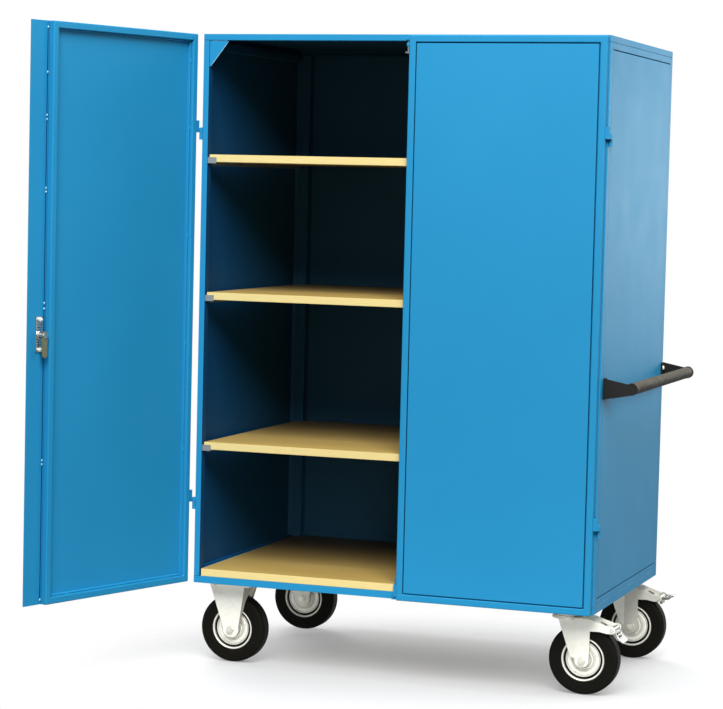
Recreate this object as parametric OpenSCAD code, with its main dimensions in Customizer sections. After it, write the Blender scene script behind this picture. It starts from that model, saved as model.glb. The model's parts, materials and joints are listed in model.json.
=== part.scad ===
// Two-leaf steel cupboard trolley on two fixed and two swivel castors.
// Lengths are in millimetres. X runs to the right and Y to the back, seen from the front.
// The left leaf stands open and the right leaf is shut.

/* [Body] */
// Width of the steel body
body_w = 1200; // [1100:10:1300]
// Depth of the body without the leaves
body_d = 784; // [740:4:840]
// Height of the body without the castors
body_h = 1592; // [1560:4:1640]
// Thickness of the sheet steel
sheet = 1.5; // [1:0.5:2]
// Wall of the square tubes
tube_wall = 2; // [1.5:0.5:2.5]

/* [Shelves] */
// Thickness of every board
board_t = 22; // [18:1:24]
// Height of the lower shelf's top above the body's underside
lower_shelf_h = 413; // [380:1:440]
// Height of the middle shelf's top above the body's underside
middle_shelf_h = 849; // [820:1:880]
// Height of the upper shelf's top above the body's underside
upper_shelf_h = 1247; // [1220:1:1280]

/* [Leaves] */
// Opening angle of the left leaf
open_angle = 108.5; // [100:0.5:120]
// Face width of the leaf's tube frame
leaf_face = 19.5; // [18:0.5:22]
// Thickness of a leaf
leaf_t = 20; // [18:1:20]
// Length of the overlap strip past the left leaf's edge
strip_reach = 64; // [58:1:68]
// Height of the lock's spindle above the body's underside
lock_h = 742; // [700:1:760]

/* [Handle] */
// Diameter of the push handle
handle_d = 33; // [30:1:34]
// Distance from the side panel to the handle's axis
handle_out = 79; // [74:1:90]
// Height of the handle's axis above the body's underside
handle_h = 627; // [610:1:650]

/* [Castors] */
// Height of a castor from the floor to its plate's top
castor_h = 240; // [236:1:244]
// Diameter of a wheel
wheel_d = 200; // [196:1:200]
// Width of a tyre
tyre_w = 50; // [46:1:50]
// Distance from the swivel axis to the wheel's axle
trail = 50; // [46:1:54]
// Travel of a brake pedal
pedal_angle = 60; // [50:1:62]

/* [Hidden] */
$fn = 64;

blue = "#3a9bc8";
side_blue = "#7fb3c6";
inner_blue = "#2186be";
wood = "#dcc07a";
galvanised = "#a9adab";
zinc = "#d4d4c9";
chrome = "#c9ccce";
brass = "#b9a25a";
black = "#2b2927";
grey = "#5a5650";

// Planes of the body
hw = body_w / 2;
y0 = -body_d / 2;
y1 = body_d / 2;
zb = castor_h;
zt = castor_h + body_h;
rail_h = 20;
post_x = 17.5;
post_y = 30;
rear_post_x = 45;
side_rail_h = 40;
roof_rim = 18;
upper_rail_h = 19;
seam = 2.5;

// Leaves, drawn shut
leaf_y1 = y0 - 1;
leaf_y0 = leaf_y1 - leaf_t;
leaf_z0 = zb - 1;
leaf_z1 = zt - 3;
leaf_x = hw - 5;
left_lift = 2.5;
left_edge = -14;
right_edge = 29.5;
pin = [-hw - 5.7, y0 + 6.2];
knuckle_r = 5.5;
hinge_pin_r = 3;
run_gap = 0.05;
hinge_zs = [zb + 235, zb + 1309];
hinge_low = 20;
hinge_high = 13;
lug_high = 35;

// Overlap strip and lock
strip_t = 4;
strip_y1 = leaf_y0 - 1.2;
strip_y0 = strip_y1 - strip_t;
strip_end = left_edge + strip_reach;
lock_x = 8;
lock_z = zb + lock_h;
screw_zs = [lock_z - 39, lock_z + 43];
lock_low = lock_z - 47;
lock_high = lock_z + 51.5;
cam_y1 = leaf_y1 + 4;
lever_y0 = strip_y0 - 17;

// Slide bolts on the right leaf's free edge
bolt_x = right_edge - 4.5;
bolt_y = leaf_y0 + leaf_t / 2;
bolt_r = 3;

// Push handle
handle_x = hw + handle_out;
handle_z = zb + handle_h;
bracket_t = 5;
tip_r = handle_d / 2 - 2.5;
tip_drop = 2.5;
plug_r = handle_d / 2 - 2.8;
bracket_y0 = y0 + 30;
bracket_y1 = y1;
root_low = handle_z - 32;
root_high = handle_z + 27;

// Castors
castor_x = 505;
castor_ys = [y0 + 97, y1 - 97];
wheel_r = wheel_d / 2;
plate = [140, 120, 5];
hole_x = 52.5;
hole_y = 45;
axle_r = 6;
leg_in = 33;
leg_t = 4;
leg_out = leg_in + leg_t;
seat_r = 62.5;
pivot = [trail + 84, wheel_r + 90];
pedal_pin_r = 4;

// The origin is the middle of the whole outline on the floor, with the left leaf open
function swung_x(p) = pin[0] + (p[0] - pin[0]) * cos(open_angle) + (p[1] - pin[1]) * sin(open_angle);
function swung_y(p) = pin[1] - (p[0] - pin[0]) * sin(open_angle) + (p[1] - pin[1]) * cos(open_angle);
swung_points = [[strip_end, strip_y0], [strip_end, strip_y1], [lock_x + 8, lever_y0]];
x_low = min([for (p = swung_points) swung_x(p)]);
y_low = min([for (p = swung_points) swung_y(p)]);
x_high = handle_x + handle_d / 2;
origin_shift = [-(x_low + x_high) / 2, -(y_low + y1) / 2, 0];

// Point where a line from p touches the circle round c
function touch(p, c, r, side) =
  let (d = norm(c - p), a = atan2(c[1] - p[1], c[0] - p[0]) + side * asin(r / d), l = sqrt(d * d - r * r))
  p + l * [cos(a), sin(a)];

module place() {
  translate(origin_shift) children();
}

module swing() {
  place()
    translate([pin[0], pin[1], 0])
      rotate([0, 0, -open_angle])
        translate([-pin[0], -pin[1], 0])
          children();
}

module both_sides() {
  children();
  mirror([1, 0, 0]) children();
}

module box(low, high) {
  translate(low) cube(high - low);
}

// Box with a straight hole along one axis, open at both ends
module tube_box(low, high, along) {
  margin = [for (i = [0:2]) i == along ? -1 : tube_wall];
  difference() {
    box(low, high);
    box(low + margin, high - margin);
  }
}

// Outline in X and Z, made thick along Y
module plate_xz(y, t) {
  translate([0, y + t, 0]) rotate([90, 0, 0]) linear_extrude(t) children();
}

module rod_y(r, low, high) {
  translate([0, low, 0]) rotate([-90, 0, 0]) cylinder(r = r, h = high - low);
}

module hex_y(r, low, high) {
  translate([0, low, 0]) rotate([-90, 0, 0]) cylinder(r = r, h = high - low, $fn = 6);
}

// Body

module base_frame() {
  color(blue) place() {
    tube_box([-hw, y0, zb], [hw, y0 + post_y, zb + rail_h], 0);
    tube_box([-hw, y1 - post_y, zb], [hw, y1, zb + rail_h], 0);
    both_sides() {
      difference() {
        tube_box([hw - post_x, y0 + post_y, zb], [hw, y1 - post_y, zb + side_rail_h], 1);
        box([hw - 1.2, y0, zb + 22], [hw + 1, y1, zb + 24]);
      }
      for (y = [y0, y1 - post_y])
        box([hw - 3, y + 1, zb + 1], [hw, y + post_y - 1, zb + rail_h - 1]);
    }
  }
}

module castor_bearers() {
  color(inner_blue) place()
    both_sides() difference() {
      box([castor_x - 76, y0 + post_y, zb], [hw - post_x, y1 - post_y, zb + rail_h]);
      box([castor_x - 73, y0, zb + 3], [hw - post_x - 3, y1, zb + rail_h + 1]);
      for (y = castor_ys, dx = [-hole_x, hole_x], dy = [-hole_y, hole_y])
        translate([castor_x + dx, y + dy, zb - 1]) cylinder(r = 5.5, h = 5);
    }
}

module front_posts() {
  color(blue) place()
    both_sides()
      tube_box([hw - post_x, y0, zb + rail_h], [hw, y0 + post_y, zt - roof_rim], 2);
}

module rear_posts() {
  color(blue) place()
    both_sides()
      tube_box([hw - rear_post_x, y1 - post_y, zb + rail_h], [hw, y1, zt - roof_rim], 2);
}

module top_rails() {
  color(blue) place() {
    tube_box([-hw + sheet, y0 + sheet, zt - roof_rim], [hw - sheet, y0 + post_y, zt - sheet], 0);
    tube_box([-hw + sheet, y1 - post_y, zt - roof_rim], [hw - sheet, y1 - sheet, zt - sheet], 0);
    both_sides()
      tube_box([hw - post_x, y0 + post_y, zt - roof_rim - upper_rail_h],
               [hw, y1 - post_y, zt - roof_rim], 1);
  }
}

module roof_tray() {
  color(blue) place() difference() {
    box([-hw, y0, zt - roof_rim], [hw, y1, zt]);
    box([-hw + sheet, y0 + sheet, zt - roof_rim - 1], [hw - sheet, y1 - sheet, zt - sheet]);
  }
}

// Sheet with its four edges folded inwards, and an open seam along its top and foot
module side_panel() {
  low = [hw - 15, y0 + post_y, zb + side_rail_h];
  high = [hw, y1 - post_y, zt - roof_rim - upper_rail_h];
  difference() {
    box(low, high);
    box(low + [-1, sheet, seam + 2], high - [sheet, sheet, seam + 2]);
    for (z = [low[2] - 1, high[2] - seam])
      box([hw - 5, low[1] - 1, z], [hw + 1, high[1] + 1, z + seam + 1]);
  }
}

module left_side_panel() {
  color(side_blue) place() mirror([1, 0, 0]) side_panel();
}

module right_side_panel() {
  color(side_blue) place() side_panel();
}

module back_panel() {
  low = [-hw + rear_post_x, y1 - 13, zb + rail_h];
  high = [hw - rear_post_x, y1, zt - roof_rim];
  color(blue) place() difference() {
    box(low, high);
    box(low + [sheet, -1, sheet], high - [sheet, sheet, sheet]);
  }
}

module corner_gussets() {
  top = zt - roof_rim;
  edge = hw - post_x;
  color(blue) place()
    both_sides()
      plate_xz(y0 + 2, 3) polygon([[edge, top], [edge - 58, top], [edge - 58, top - 4], [edge - 4, top - 75],
                                   [edge, top - 75]]);
}

// Board with its rear corners cut out round the posts
module board(top, front, back) {
  side = hw - post_x - 4.5;
  notch = hw - rear_post_x - 5;
  outline = [[-side, front], [side, front], [side, y1 - post_y - 2], [notch, y1 - post_y - 2],
             [notch, back], [-notch, back], [-notch, y1 - post_y - 2], [-side, y1 - post_y - 2]];
  translate([0, 0, top - board_t]) linear_extrude(board_t) polygon(outline);
}

module load_floor() {
  color(wood) place() board(zb + rail_h + board_t, y0 + 2, y1 - 14.5);
}

module lower_shelf() {
  color(wood) place() board(zb + lower_shelf_h, y0 + 6, y1 - 4);
}

module middle_shelf() {
  color(wood) place() board(zb + middle_shelf_h, y0 + 6, y1 - 4);
}

module upper_shelf() {
  color(wood) place() board(zb + upper_shelf_h, y0 + 6, y1 - 4);
}

// Angle under each shelf end, with a tab folded up in front of the board
module shelf_ledges() {
  edge = hw - post_x;
  color(galvanised) place()
    both_sides() for (h = [lower_shelf_h, middle_shelf_h, upper_shelf_h]) {
      seat = zb + h - board_t;
      box([edge - 2, y0 + 40, seat - 10], [edge, y1 - post_y, seat]);
      box([edge - 25, y0 + 3, seat - 2], [edge, y1 - post_y, seat]);
      box([edge - 26.5, y0 + 3, seat - 3.5], [edge, y0 + 6, seat + 14]);
    }
}

// Push handle on the right side

module handle_tube() {
  color(grey) place() translate([handle_x, 0, handle_z]) difference() {
    rod_y(handle_d / 2, bracket_y0 + bracket_t, bracket_y1 - bracket_t);
    rod_y(handle_d / 2 - 2.5, bracket_y0, bracket_y1);
  }
}

module bracket_outline() {
  low = [hw, root_low];
  high = [hw, root_high];
  eye = [handle_x, handle_z - tip_drop];
  polygon([low, touch(low, eye, tip_r, -1), eye, touch(high, eye, tip_r, 1), high]);
  translate(eye) circle(r = tip_r);
}

// Bracket at its plate's outer face, with the foot and the plug for the tube on the +Y side
module handle_bracket() {
  difference() {
    union() {
      plate_xz(0, bracket_t) bracket_outline();
      box([hw, 0, root_low], [hw + 5, 28, root_high]);
      translate([handle_x, 0, handle_z]) rod_y(plug_r, bracket_t - 1, 22);
    }
    for (z = [root_low + 16, root_high - 16])
      translate([hw - 1, 18, z]) rotate([0, 90, 0]) cylinder(r = 3.6, h = 8);
  }
}

module front_handle_bracket() {
  color(black) place() translate([0, bracket_y0, 0]) handle_bracket();
}

module rear_handle_bracket() {
  color(black) place() translate([0, bracket_y1, 0]) mirror([0, 1, 0]) handle_bracket();
}

module handle_screws() {
  color(zinc) place()
    for (y = [bracket_y0 + 18, bracket_y1 - 18], z = [root_low + 16, root_high - 16])
      translate([hw, y, z]) rotate([0, 90, 0]) {
        cylinder(r = 3, h = 6);
        translate([0, 0, 5]) cylinder(r1 = 6.5, r2 = 5, h = 3.5);
      }
}

// Hinges

// Lower half with its pin, on the left corner post
module body_hinge() {
  for (z = hinge_zs) {
    translate([pin[0], pin[1], z - hinge_low]) cylinder(r = knuckle_r, h = hinge_low - 0.5);
    box([pin[0], pin[1] - 3, z - hinge_low], [-hw, pin[1] + 3, z - 0.5]);
    translate([pin[0], pin[1], z - 1]) cylinder(r = hinge_pin_r, h = hinge_high - 2);
  }
}

// Upper half, on the left leaf's edge, with a lug that runs on upwards
module leaf_hinge() {
  arm = [[-leaf_x, leaf_y0 + 5], [-leaf_x, leaf_y1 - 1.5], [-hw - 1.6, leaf_y1 - 1.5], [-hw - 1.6, pin[1]],
         pin, [pin[0] - 5.2, pin[1]], [pin[0] - 4.4, leaf_y0 + 13], [-hw - 3, leaf_y0 + 5]];
  lug = [[-leaf_x, leaf_y0 + 5], [-leaf_x, leaf_y1 - 1.5], [-hw - 7, leaf_y1 - 1.5], [-hw - 7, leaf_y0 + 10],
         [-hw - 3, leaf_y0 + 5]];
  for (z = hinge_zs)
    translate([0, 0, z + 0.5]) {
      linear_extrude(hinge_high - 0.5) difference() {
        union() {
          translate(pin) circle(r = knuckle_r);
          polygon(arm);
        }
        translate(pin) circle(r = hinge_pin_r + run_gap);
      }
      linear_extrude(lug_high - 0.5) polygon(lug);
    }
}

module left_body_hinges() {
  color(blue) place() body_hinge();
}

module right_body_hinges() {
  color(blue) place() mirror([1, 0, 0]) body_hinge();
}

module left_leaf_hinges() {
  color(blue) swing() leaf_hinge();
}

module right_leaf_hinges() {
  color(blue) place() mirror([1, 0, 0]) leaf_hinge();
}

// Leaves

// Four mitred tubes between the corners low and high
module leaf_frame(low, high) {
  w = leaf_face;
  t = tube_wall;
  corners = [low, [high[0], low[1]], high, [low[0], high[1]]];
  inward = [[1, 1], [-1, 1], [-1, -1], [1, -1]];
  for (i = [0:3]) {
    j = (i + 1) % 4;
    difference() {
      plate_xz(leaf_y0, leaf_t)
        polygon([corners[i], corners[j], corners[j] + w * inward[j], corners[i] + w * inward[i]]);
      plate_xz(leaf_y0 + t, leaf_t - 2 * t)
        polygon([corners[i] + t * inward[i], corners[j] + t * inward[j],
                 corners[j] + (w - t) * inward[j], corners[i] + (w - t) * inward[i]]);
    }
  }
}

// Frame of four bars round the inside of low and high, w wide, from y to y + t
module border(low, high, w, y, t) {
  difference() {
    box([low[0], y, low[1]], [high[0], y + t, high[1]]);
    box([low[0] + w, y - 1, low[1] + w], [high[0] - w, y + t + 1, high[1] - w]);
  }
}

// Sheet set in by a deep groove, with folded edges and a lip that meets the frame all round
module leaf_panel(low, high) {
  groove = 3;
  depth = 8;
  in_low = low + [leaf_face, leaf_face];
  in_high = high - [leaf_face, leaf_face];
  rim_low = in_low + [groove, groove];
  rim_high = in_high - [groove, groove];
  face_y = leaf_y0 + 0.6;
  box([rim_low[0], face_y, rim_low[1]], [rim_high[0], face_y + sheet, rim_high[1]]);
  border(rim_low, rim_high, sheet, face_y, depth + sheet);
  border(in_low, in_high, groove + sheet, face_y + depth, sheet);
}

module left_leaf_frame() {
  color(inner_blue) swing() leaf_frame([-leaf_x, leaf_z0 + left_lift], [left_edge, leaf_z1 + left_lift]);
}

module left_leaf_panel() {
  color(inner_blue) swing() leaf_panel([-leaf_x, leaf_z0 + left_lift], [left_edge, leaf_z1 + left_lift]);
}

module right_leaf_frame() {
  color(blue) place() leaf_frame([right_edge, leaf_z0], [leaf_x, leaf_z1]);
}

module right_leaf_panel() {
  color(blue) place() leaf_panel([right_edge, leaf_z0], [leaf_x, leaf_z1]);
}

// Strip on the left leaf's outer face, set forward where it covers the right leaf, grooved beside the leaf
module overlap_strip() {
  root = left_edge - 20;
  profile = [[root, leaf_y0], [left_edge, leaf_y0], [left_edge + 0.3, strip_y1 - 2.6],
             [left_edge + 3.5, strip_y1 - 2.6], [left_edge + 4, strip_y1], [strip_end, strip_y1],
             [strip_end, strip_y0], [left_edge + 1, strip_y0], [left_edge - 1, leaf_y0 - strip_t],
             [root, leaf_y0 - strip_t]];
  color(inner_blue) swing() difference() {
    translate([0, 0, leaf_z0 + left_lift]) linear_extrude(leaf_z1 - leaf_z0) polygon(profile);
    translate([lock_x, 0, lock_z]) rod_y(8, strip_y0 - 1, strip_y1 + 1);
    for (z = screw_zs)
      translate([lock_x, 0, z]) rod_y(3.4, strip_y0 - 1, strip_y1 + 1);
  }
}

// Lock in the gap between the leaves

module lock_escutcheon() {
  color(chrome) swing() difference() {
    union() {
      box([lock_x - 13, strip_y0 - 4, lock_low], [lock_x + 13, strip_y0, lock_high]);
      translate([lock_x, 0, lock_z]) rod_y(7.5, strip_y0 - 4, leaf_y1 - 4);
    }
    translate([lock_x, 0, lock_z]) rod_y(5 + run_gap, strip_y0 - 5, leaf_y1);
    for (z = screw_zs)
      translate([lock_x, 0, z]) rod_y(3.4, strip_y0 - 5, strip_y0 + 1);
  }
}

// Plate with ribs above and below the spindle
module lock_back_plate() {
  color(chrome) swing() {
    difference() {
      box([lock_x - 12, strip_y1, lock_low], [lock_x + 12, strip_y1 + 3, lock_high]);
      translate([lock_x, 0, lock_z]) rod_y(8, strip_y1 - 1, strip_y1 + 4);
      for (z = screw_zs)
        translate([lock_x, 0, z]) rod_y(3.4, strip_y1 - 1, strip_y1 + 4);
    }
    for (z = [-29, -23, -17, 18, 25, 32])
      box([lock_x - 10, strip_y1 + 2, lock_z + z - 1.6], [lock_x + 10, strip_y1 + 7, lock_z + z + 1.6]);
  }
}

module lock_nut() {
  color(chrome) swing()
    translate([lock_x, 0, lock_z]) difference() {
      hex_y(12.5, strip_y1 + 3, strip_y1 + 10);
      rod_y(7.8, strip_y1, strip_y1 + 11);
    }
}

// Screws with domed heads outside and nuts inside
module lock_screws() {
  color(zinc) swing()
    for (z = screw_zs)
      translate([lock_x, 0, z]) {
        rod_y(3, strip_y0 - 6, strip_y1 + 13);
        rod_y(6, strip_y0 - 6.5, strip_y0 - 4);
        hex_y(6.5, strip_y1 + 3, strip_y1 + 8);
      }
}

// Lever and spindle, hanging down when the lock is open
module lock_lever() {
  color(chrome) swing() {
    translate([lock_x, 0, lock_z]) {
      rod_y(5, strip_y0 - 8, cam_y1);
      rod_y(11, strip_y0 - 12, strip_y0 - 4.5);
      plate_xz(lever_y0, 6) {
        translate([-8, -72]) square([16, 72]);
        circle(r = 8);
        translate([0, -72]) circle(r = 8);
      }
    }
  }
}

module lock_cam() {
  color(brass) swing()
    translate([lock_x, 0, lock_z])
      plate_xz(cam_y1 - 3, 3) difference() {
        union() {
          translate([-9, -52]) square([18, 52]);
          circle(r = 11);
          translate([0, -52]) circle(r = 9);
        }
        circle(r = 5.3);
      }
}

module lock_cap() {
  color(chrome) swing()
    translate([lock_x, 0, lock_z]) hex_y(9, cam_y1, cam_y1 + 4);
}

// Slide bolts, drawn back

module bolt_guide(low, high) {
  difference() {
    box([bolt_x - 4.5, bolt_y - 4.5, low], [right_edge, bolt_y + 4.5, high]);
    translate([bolt_x, bolt_y, low - 1]) cylinder(r = bolt_r + run_gap, h = high - low + 2);
  }
}

module bolt_guides() {
  color(blue) place() {
    bolt_guide(zb + 8, zb + 44);
    bolt_guide(zt - 34, zt - 24);
  }
}

// Rod with a knob, which points along X at turn 0 and to the back at turn -90
module slide_bolt(low, high, knob_z, turn) {
  translate([bolt_x, bolt_y, low]) cylinder(r = bolt_r, h = high - low);
  translate([bolt_x, bolt_y, knob_z]) rotate([0, 0, turn]) rotate([0, -90, 0]) cylinder(r = 2.5, h = 8.5);
}

module top_bolt() {
  color(zinc) place() slide_bolt(zt - 54, zt - 21, zt - 51, 0);
}

module bottom_bolt() {
  color(zinc) place() slide_bolt(zb + 7, zb + 61, zb + 58, -90);
}

// Hooks on the body that reach in front of the bolts
module bolt_keepers() {
  color(blue) place()
    for (z = [zb + 1, zt - 16]) {
      box([bolt_x - 9, bolt_y - 7, z], [bolt_x - 4.5, y0, z + 3]);
      box([bolt_x - 9, bolt_y - 7, z], [bolt_x + 3, bolt_y - 4, z + 3]);
    }
}

// Castors, drawn round their own plate centre with the wheel running along X

module at_castor(side, row) {
  place() translate([side * castor_x, castor_ys[row], 0]) children();
}

module castor_plate() {
  difference() {
    translate([-plate[0] / 2, -plate[1] / 2, castor_h - plate[2]]) cube(plate);
    for (dx = [-hole_x, hole_x], dy = [-hole_y, hole_y])
      translate([dx, dy, castor_h - plate[2] - 1]) cylinder(r = 5.5, h = plate[2] + 2);
  }
}

module castor_bolts() {
  low = castor_h - plate[2];
  color(zinc) place()
    for (s = [-1, 1], y = castor_ys, dx = [-hole_x, hole_x], dy = [-hole_y, hole_y])
      translate([s * castor_x + dx, y + dy, 0]) {
        translate([0, 0, low - 7]) cylinder(r = 9, h = 7, $fn = 6);
        translate([0, 0, low - 1]) cylinder(r = 5, h = 20);
        translate([0, 0, castor_h + 3]) cylinder(r = 9, h = 8, $fn = 6);
      }
}

// Slanted leg with an edge folded towards the wheel on the right
module fixed_leg() {
  top = castor_h - 9;
  plate_xz(-leg_out, leg_t) difference() {
    union() {
      polygon([[-68, top], [42, top], [24.5, wheel_r + 5], [-24.5, wheel_r + 5]]);
      translate([0, wheel_r]) circle(r = 25);
    }
    translate([0, wheel_r]) circle(r = axle_r + 0.3);
  }
  translate([24.2, -leg_out, wheel_r + 5]) rotate([0, 8, 0]) rotate([0, 0, 40])
    plate_xz(0, leg_t) polygon([[-0.5, 2], [-0.5, 126], [23, 123], [10, 80], [6, 40], [4.5, 2]]);
}

module fixed_fork() {
  castor_plate();
  box([-68, -leg_out, castor_h - 9], [58, leg_out, castor_h - plate[2]]);
  fixed_leg();
  mirror([0, 1, 0]) fixed_leg();
}

module front_fixed_fork() {
  color(zinc) at_castor(-1, 0) fixed_fork();
}

module rear_fixed_fork() {
  color(zinc) at_castor(-1, 1) fixed_fork();
}

// Bolt through the hub, with a nut at each end
module axle() {
  rod_y(axle_r, -leg_out - 12, leg_out + 12);
  hex_y(11, -leg_out - 9, -leg_out);
  hex_y(11, leg_out, leg_out + 9);
}

module fixed_axles() {
  color(zinc) for (row = [0, 1])
    at_castor(-1, row) translate([0, 0, wheel_r]) axle();
}

// Plate with the upper race, the king pin and its nut
module swivel_plate() {
  castor_plate();
  translate([0, 0, castor_h - 18]) cylinder(r1 = 40, r2 = 46, h = 14);
  translate([0, 0, castor_h - 37]) cylinder(r = 8, h = 34);
  translate([0, 0, castor_h - 37]) cylinder(r = 13, h = 8, $fn = 6);
}

module front_swivel_plate() {
  color(zinc) at_castor(1, 0) swivel_plate();
}

module rear_swivel_plate() {
  color(zinc) at_castor(1, 1) swivel_plate();
}

// Leg with a folded leading part and the arm that carries the pedal
module swivel_leg() {
  top = castor_h - 23;
  crease = trail - 20;
  back = trail + 21;
  plate_xz(-leg_out, leg_t) difference() {
    union() {
      polygon([[crease, top], [back, top], [back, wheel_r + 32], [trail + 19, wheel_r],
               [trail - 19, wheel_r], [crease, wheel_r + 3]]);
      translate([trail, wheel_r]) circle(r = 20);
      polygon([[back - 1, top], [back + 18, top - 7], [pivot[0] - 5, pivot[1] + 8], pivot,
               [pivot[0] - 4, pivot[1] - 9], [back + 50, top - 37], [back + 27, top - 33],
               [back - 1, top - 34]]);
      translate(pivot) circle(r = 10);
    }
    translate([trail, wheel_r]) circle(r = axle_r + 0.3);
    translate(pivot) circle(r = pedal_pin_r + 0.3);
  }
  translate([crease, -leg_out, 0]) rotate([0, 0, -10])
    plate_xz(0, leg_t)
      polygon([[0.5, top], [0.5, wheel_r + 3], [-15, wheel_r + 9], [-54, top - 4], [-54, top]]);
}

module swivel_fork() {
  top = castor_h - 23;
  back = trail + 21;
  difference() {
    union() {
      translate([0, 0, top]) cylinder(r = 42, h = 4);
      translate([0, 0, top - 4]) cylinder(r = 46, h = 4);
      box([0, -leg_out, top - 4], [back, leg_out, top]);
      swivel_leg();
      mirror([0, 1, 0]) swivel_leg();
      plate_xz(-leg_in - 1, 2 * leg_in + 2)
        polygon([[back - 2, top], [back, top], [back + 18, top - 7], [back + 54, top - 24.5],
                 [back + 53, top - 27.5], [back + 17, top - 10], [back - 2, top - 4]]);
    }
    translate([0, 0, top - 5]) cylinder(r = 8 + run_gap, h = 10);
    box([back + 24, -14, top - 40], [back + 42, 14, top]);
  }
}

module front_swivel_fork() {
  color(zinc) at_castor(1, 0) swivel_fork();
}

module rear_swivel_fork() {
  color(zinc) at_castor(1, 1) swivel_fork();
}

// Axle with its nuts, and the pin of the brake pedal
module swivel_pins() {
  translate([trail, 0, wheel_r]) axle();
  translate([pivot[0], 0, pivot[1]]) {
    rod_y(pedal_pin_r, -leg_out - 2, leg_out + 2);
    rod_y(6, -leg_out - 3, -leg_out);
    rod_y(6, leg_out, leg_out + 3);
  }
}

module front_swivel_pins() {
  color(zinc) at_castor(1, 0) swivel_pins();
}

module rear_swivel_pins() {
  color(zinc) at_castor(1, 1) swivel_pins();
}

// Foot plate, barrel and brake finger, turned down by the angle pressed
module brake_pedal(pressed) {
  half = leg_in - 3;
  finger = 19;
  translate([pivot[0], 0, pivot[1]]) rotate([0, pressed, 0]) difference() {
    union() {
      rod_y(7, -half, half);
      difference() {
        plate_xz(-half, 2 * half) polygon([[2, 3], [28, 4], [44, 11], [46, 8.5], [29, 0.5], [2, -1]]);
        for (x = [13, 23])
          box([x, -half + 8, -10], [x + 5, half - 8, 14]);
      }
      for (s = [-1, 1])
        plate_xz(s * half - (s + 1) * 1.5, 3) polygon([[0, -6], [0, 4], [28, 4], [40, 8], [30, -2]]);
      rotate([0, 133 - pedal_angle, 0]) box([0, -18, -4], [finger, 18, 4]);
    }
    rod_y(pedal_pin_r + run_gap, -half - 1, half + 1);
  }
}

module front_brake_pedal() {
  color(chrome) at_castor(1, 0) brake_pedal(pedal_angle);
}

module rear_brake_pedal() {
  color(chrome) at_castor(1, 1) brake_pedal(0);
}

// Wheels

module turned_y() {
  rotate([90, 0, 0]) rotate_extrude() children();
}

module tyre() {
  half = tyre_w / 2;
  edge = 11;
  turned_y() {
    translate([seat_r, -half]) square([wheel_r - edge - seat_r, tyre_w]);
    translate([seat_r, edge - half]) square([wheel_r - seat_r, tyre_w - 2 * edge]);
    for (s = [-1, 1])
      translate([wheel_r - edge, s * (half - edge)]) circle(r = edge);
  }
}

// Hub, web and seat, with a cover disc on each side that leaves a dark ring open
module rim() {
  bore = axle_r + run_gap;
  turned_y() {
    translate([bore, -31]) square([16 - bore, 62]);
    translate([15, -4]) square([43, 8]);
    translate([56.5, -23]) square([seat_r - 56.5, 46]);
    for (s = [0, 1]) mirror([0, s]) {
      translate([15, 15]) square([35, 3]);
      translate([47, 17]) square([3, 3]);
      translate([30, 17]) square([4, 2.5]);
      translate([15, 17]) square([8, 6]);
    }
  }
}

module front_fixed_tyre() {
  color(black) at_castor(-1, 0) translate([0, 0, wheel_r]) tyre();
}

module front_fixed_rim() {
  color(zinc) at_castor(-1, 0) translate([0, 0, wheel_r]) rim();
}

module rear_fixed_tyre() {
  color(black) at_castor(-1, 1) translate([0, 0, wheel_r]) tyre();
}

module rear_fixed_rim() {
  color(zinc) at_castor(-1, 1) translate([0, 0, wheel_r]) rim();
}

module front_swivel_tyre() {
  color(black) at_castor(1, 0) translate([trail, 0, wheel_r]) tyre();
}

module front_swivel_rim() {
  color(zinc) at_castor(1, 0) translate([trail, 0, wheel_r]) rim();
}

module rear_swivel_tyre() {
  color(black) at_castor(1, 1) translate([trail, 0, wheel_r]) tyre();
}

module rear_swivel_rim() {
  color(zinc) at_castor(1, 1) translate([trail, 0, wheel_r]) rim();
}

base_frame();
castor_bearers();
front_posts();
rear_posts();
top_rails();
roof_tray();
left_side_panel();
right_side_panel();
back_panel();
corner_gussets();
load_floor();
lower_shelf();
middle_shelf();
upper_shelf();
shelf_ledges();
handle_tube();
front_handle_bracket();
rear_handle_bracket();
handle_screws();
left_body_hinges();
right_body_hinges();
bolt_keepers();
castor_bolts();
front_fixed_fork();
rear_fixed_fork();
fixed_axles();
front_swivel_plate();
rear_swivel_plate();
left_leaf_frame();
left_leaf_panel();
left_leaf_hinges();
overlap_strip();
lock_escutcheon();
lock_back_plate();
lock_nut();
lock_screws();
lock_lever();
lock_cam();
lock_cap();
right_leaf_frame();
right_leaf_panel();
right_leaf_hinges();
bolt_guides();
top_bolt();
bottom_bolt();
front_swivel_fork();
front_swivel_pins();
rear_swivel_fork();
rear_swivel_pins();
front_brake_pedal();
rear_brake_pedal();
front_fixed_tyre();
front_fixed_rim();
rear_fixed_tyre();
rear_fixed_rim();
front_swivel_tyre();
front_swivel_rim();
rear_swivel_tyre();
rear_swivel_rim();
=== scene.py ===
import bpy, bmesh, json, math, random
from mathutils import Matrix, Vector


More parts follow.
